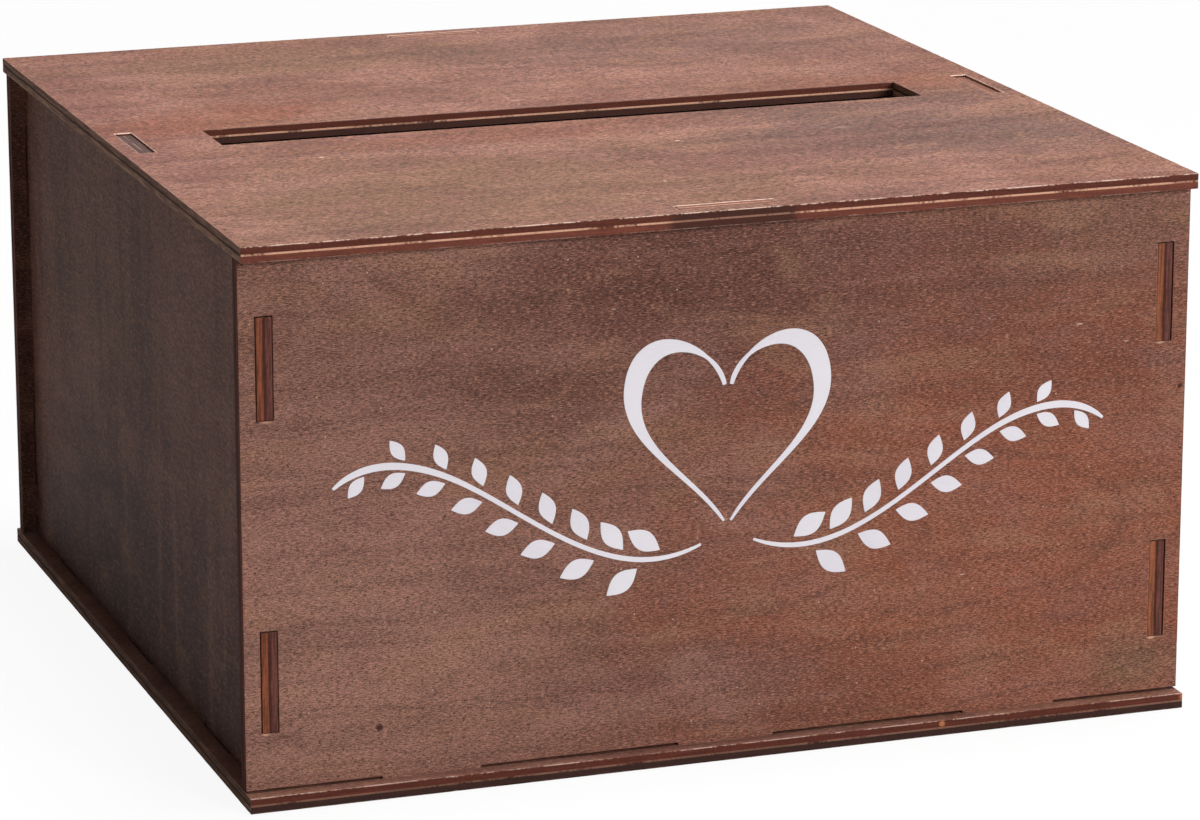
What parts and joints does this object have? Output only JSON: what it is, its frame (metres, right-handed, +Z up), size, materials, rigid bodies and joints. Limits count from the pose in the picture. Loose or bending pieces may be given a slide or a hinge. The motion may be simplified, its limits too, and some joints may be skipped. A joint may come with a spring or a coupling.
{
  "type": "card box",
  "caption": "Square stained plywood card box of interlocking tab-and-slot panels, with a long card slot in a lift-off lid; holds cards and envelopes at a wedding.",
  "frame": {"origin": "centre of the base's underside, on the surface that the box stands on", "axes": "+Z up, front wall towards -Y, +X to the right as seen from the front, along the card slot"},
  "size_m": [0.25, 0.25, 0.1416],
  "materials": {
    "stained_plywood": "satin brown stain",
    "white_vinyl": "matt white film"
  },
  "bodies": {
    "box": {"base": "stained_plywood", "front_wall": "stained_plywood", "back_wall": "stained_plywood", "left_wall": "stained_plywood", "right_wall": "stained_plywood"},
    "lid": {"lid": "stained_plywood"}
  },
  "joints": [
    {"name": "lid_lift", "type": "slide", "parent": "box", "child": "lid", "axis": [0, 0, 1], "range_m": [0, 0.12]}
  ]
}
